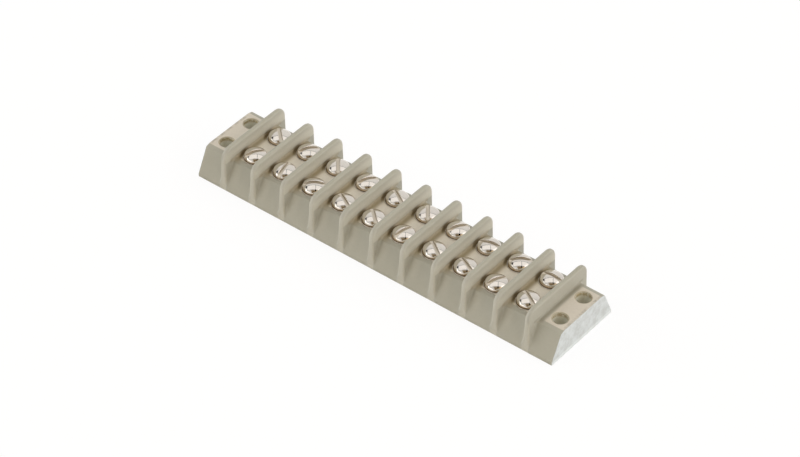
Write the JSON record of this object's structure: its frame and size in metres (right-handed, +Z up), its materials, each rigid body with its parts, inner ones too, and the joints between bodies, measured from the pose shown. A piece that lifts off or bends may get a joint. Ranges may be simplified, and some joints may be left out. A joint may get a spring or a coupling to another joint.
{
  "type": "terminal block",
  "caption": "Double-row barrier terminal block: moulded body with fins between the circuits, a screw pair in each bay, and mounting holes at both ends.",
  "frame": {"origin": "middle of the flat base", "axes": "+X along the block towards its right end, +Y across it, +Z up out of the base"},
  "size_m": [0.1302, 0.0286, 0.0143],
  "materials": {
    "moulded_body": "moulded thermoset, matte, grey beige",
    "terminal_plating": "plated brass, satin",
    "screw_plating": "nickel-plated steel, bright"
  },
  "bodies": {
    "block": {"housing": "moulded_body", "terminal_01": "terminal_plating", "terminal_02": "terminal_plating", "terminal_03": "terminal_plating", "terminal_04": "terminal_plating", "terminal_05": "terminal_plating", "terminal_06": "terminal_plating", "terminal_07": "terminal_plating", "terminal_08": "terminal_plating", "terminal_09": "terminal_plating", "terminal_10": "terminal_plating"},
    "screw_front_01": {"screw_front_01": "screw_plating"},
    "screw_front_02": {"screw_front_02": "screw_plating"},
    "screw_front_03": {"screw_front_03": "screw_plating"},
    "screw_front_04": {"screw_front_04": "screw_plating"},
    "screw_front_05": {"screw_front_05": "screw_plating"},
    "screw_front_06": {"screw_front_06": "screw_plating"},
    "screw_front_07": {"screw_front_07": "screw_plating"},
    "screw_front_08": {"screw_front_08": "screw_plating"},
    "screw_front_09": {"screw_front_09": "screw_plating"},
    "screw_front_10": {"screw_front_10": "screw_plating"},
    "screw_back_01": {"screw_back_01": "screw_plating"},
    "screw_back_02": {"screw_back_02": "screw_plating"},
    "screw_back_03": {"screw_back_03": "screw_plating"},
    "screw_back_04": {"screw_back_04": "screw_plating"},
    "screw_back_05": {"screw_back_05": "screw_plating"},
    "screw_back_06": {"screw_back_06": "screw_plating"},
    "screw_back_07": {"screw_back_07": "screw_plating"},
    "screw_back_08": {"screw_back_08": "screw_plating"},
    "screw_back_09": {"screw_back_09": "screw_plating"},
    "screw_back_10": {"screw_back_10": "screw_plating"}
  },
  "joints": [
    {"name": "screw_front_01_travel", "type": "slide", "parent": "block", "child": "screw_front_01", "axis": [0, 0, 1], "range_m": [0, 0.00397]},
    {"name": "screw_front_02_travel", "type": "slide", "parent": "block", "child": "screw_front_02", "axis": [0, 0, 1], "range_m": [0, 0.00397]},
    {"name": "screw_front_03_travel", "type": "slide", "parent": "block", "child": "screw_front_03", "axis": [0, 0, 1], "range_m": [0, 0.00397]},
    {"name": "screw_front_04_travel", "type": "slide", "parent": "block", "child": "screw_front_04", "axis": [0, 0, 1], "range_m": [0, 0.00397]},
    {"name": "screw_front_05_travel", "type": "slide", "parent": "block", "child": "screw_front_05", "axis": [0, 0, 1], "range_m": [0, 0.00397]},
    {"name": "screw_front_06_travel", "type": "slide", "parent": "block", "child": "screw_front_06", "axis": [0, 0, 1], "range_m": [0, 0.00397]},
    {"name": "screw_front_07_travel", "type": "slide", "parent": "block", "child": "screw_front_07", "axis": [0, 0, 1], "range_m": [0, 0.00397]},
    {"name": "screw_front_08_travel", "type": "slide", "parent": "block", "child": "screw_front_08", "axis": [0, 0, 1], "range_m": [0, 0.00397]},
    {"name": "screw_front_09_travel", "type": "slide", "parent": "block", "child": "screw_front_09", "axis": [0, 0, 1], "range_m": [0, 0.00397]},
    {"name": "screw_front_10_travel", "type": "slide", "parent": "block", "child": "screw_front_10", "axis": [0, 0, 1], "range_m": [0, 0.00397]},
    {"name": "screw_back_01_travel", "type": "slide", "parent": "block", "child": "screw_back_01", "axis": [0, 0, 1], "range_m": [0, 0.00397]},
    {"name": "screw_back_02_travel", "type": "slide", "parent": "block", "child": "screw_back_02", "axis": [0, 0, 1], "range_m": [0, 0.00397]},
    {"name": "screw_back_03_travel", "type": "slide", "parent": "block", "child": "screw_back_03", "axis": [0, 0, 1], "range_m": [0, 0.00397]},
    {"name": "screw_back_04_travel", "type": "slide", "parent": "block", "child": "screw_back_04", "axis": [0, 0, 1], "range_m": [0, 0.00397]},
    {"name": "screw_back_05_travel", "type": "slide", "parent": "block", "child": "screw_back_05", "axis": [0, 0, 1], "range_m": [0, 0.00397]},
    {"name": "screw_back_06_travel", "type": "slide", "parent": "block", "child": "screw_back_06", "axis": [0, 0, 1], "range_m": [0, 0.00397]},
    {"name": "screw_back_07_travel", "type": "slide", "parent": "block", "child": "screw_back_07", "axis": [0, 0, 1], "range_m": [0, 0.00397]},
    {"name": "screw_back_08_travel", "type": "slide", "parent": "block", "child": "screw_back_08", "axis": [0, 0, 1], "range_m": [0, 0.00397]},
    {"name": "screw_back_09_travel", "type": "slide", "parent": "block", "child": "screw_back_09", "axis": [0, 0, 1], "range_m": [0, 0.00397]},
    {"name": "screw_back_10_travel", "type": "slide", "parent": "block", "child": "screw_back_10", "axis": [0, 0, 1], "range_m": [0, 0.00397]}
  ]
}
